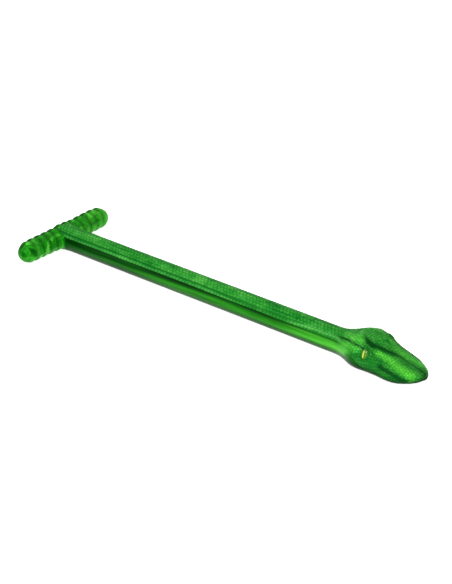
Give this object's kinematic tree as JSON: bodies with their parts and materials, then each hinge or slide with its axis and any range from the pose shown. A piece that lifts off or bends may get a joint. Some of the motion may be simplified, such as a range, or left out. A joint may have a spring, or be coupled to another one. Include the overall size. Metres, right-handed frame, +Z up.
{
  "type": "posable snake stick",
  "caption": "Posable soft-skinned snake with a ribbed T-bar tail, a smooth belly, a scaled back and a broad head, held in any bend by a jointed spine.",
  "frame": {"origin": "on the surface it rests on, under the middle of its bounding box", "axes": "+X towards the snout, +Y along the T-bar to the snake's left, +Z up"},
  "size_m": [0.4502, 0.122, 0.0312],
  "materials": {
    "snake_skin": "glossy pearlescent green silicone, scaled above and smooth below",
    "grip_skin": "glossy marbled green silicone, ribbed",
    "head_skin": "glossy green silicone with small scales and darker bands",
    "eye": "polished gold and green with a vertical slit",
    "spine_nylon": "moulded black nylon",
    "steel": "drawn stainless wire and rod"
  },
  "bodies": {
    "tail": {"cross_rod": "steel", "tail_hub": "spine_nylon", "hub_screw": "steel", "tail_skin": "snake_skin", "left_grip": "grip_skin", "right_grip": "grip_skin", "spine_pin_01": "steel"},
    "segment_01": {"spine_link_01": "spine_nylon", "body_skin_01": "snake_skin", "spine_pin_02": "steel"},
    "segment_02": {"spine_link_02": "spine_nylon", "body_skin_02": "snake_skin", "spine_pin_03": "steel"},
    "segment_03": {"spine_link_03": "spine_nylon", "body_skin_03": "snake_skin", "spine_pin_04": "steel"},
    "segment_04": {"spine_link_04": "spine_nylon", "body_skin_04": "snake_skin", "spine_pin_05": "steel"},
    "segment_05": {"spine_link_05": "spine_nylon", "body_skin_05": "snake_skin", "spine_pin_06": "steel"},
    "segment_06": {"spine_link_06": "spine_nylon", "body_skin_06": "snake_skin", "spine_pin_07": "steel"},
    "segment_07": {"spine_link_07": "spine_nylon", "body_skin_07": "snake_skin", "spine_pin_08": "steel"},
    "segment_08": {"spine_link_08": "spine_nylon", "body_skin_08": "snake_skin", "spine_pin_09": "steel"},
    "segment_09": {"spine_link_09": "spine_nylon", "body_skin_09": "snake_skin", "spine_pin_10": "steel"},
    "segment_10": {"spine_link_10": "spine_nylon", "body_skin_10": "snake_skin", "spine_pin_11": "steel"},
    "segment_11": {"spine_link_11": "spine_nylon", "body_skin_11": "snake_skin", "spine_pin_12": "steel"},
    "segment_12": {"spine_link_12": "spine_nylon", "body_skin_12": "snake_skin", "spine_pin_13": "steel"},
    "head": {"head_core": "spine_nylon", "head_crown": "head_skin", "lower_jaw": "head_skin", "left_eye": "eye", "right_eye": "eye"}
  },
  "joints": [
    {"name": "bend_01", "type": "hinge", "parent": "tail", "child": "segment_01", "pos_m": [-0.1853, 0, 0.012], "axis": [0, 0, 1], "range_deg": [-15, 15]},
    {"name": "bend_02", "type": "hinge", "parent": "segment_01", "child": "segment_02", "pos_m": [-0.1598, 0, 0.012], "axis": [0, 0, 1], "range_deg": [-15, 15]},
    {"name": "bend_03", "type": "hinge", "parent": "segment_02", "child": "segment_03", "pos_m": [-0.1343, 0, 0.012], "axis": [0, 0, 1], "range_deg": [-15, 15]},
    {"name": "bend_04", "type": "hinge", "parent": "segment_03", "child": "segment_04", "pos_m": [-0.1088, 0, 0.012], "axis": [0, 0, 1], "range_deg": [-15, 15]},
    {"name": "bend_05", "type": "hinge", "parent": "segment_04", "child": "segment_05", "pos_m": [-0.0833, 0, 0.012], "axis": [0, 0, 1], "range_deg": [-15, 15]},
    {"name": "bend_06", "type": "hinge", "parent": "segment_05", "child": "segment_06", "pos_m": [-0.0578, 0, 0.012], "axis": [0, 0, 1], "range_deg": [-15, 15]},
    {"name": "bend_07", "type": "hinge", "parent": "segment_06", "child": "segment_07", "pos_m": [-0.0323, 0, 0.012], "axis": [0, 0, 1], "range_deg": [-15, 15]},
    {"name": "bend_08", "type": "hinge", "parent": "segment_07", "child": "segment_08", "pos_m": [-0.0068, 0, 0.012], "axis": [0, 0, 1], "range_deg": [-15, 15]},
    {"name": "bend_09", "type": "hinge", "parent": "segment_08", "child": "segment_09", "pos_m": [0.0187, 0, 0.012], "axis": [0, 0, 1], "range_deg": [-15, 15]},
    {"name": "bend_10", "type": "hinge", "parent": "segment_09", "child": "segment_10", "pos_m": [0.0442, 0, 0.012], "axis": [0, 0, 1], "range_deg": [-15, 15]},
    {"name": "bend_11", "type": "hinge", "parent": "segment_10", "child": "segment_11", "pos_m": [0.0697, 0, 0.012], "axis": [0, 0, 1], "range_deg": [-15, 15]},
    {"name": "bend_12", "type": "hinge", "parent": "segment_11", "child": "segment_12", "pos_m": [0.0952, 0, 0.012], "axis": [0, 0, 1], "range_deg": [-15, 15]},
    {"name": "neck_nod", "type": "hinge", "parent": "segment_12", "child": "head", "pos_m": [0.1207, 0, 0.012], "axis": [0, -1, 0], "range_deg": [0, 25]}
  ]
}
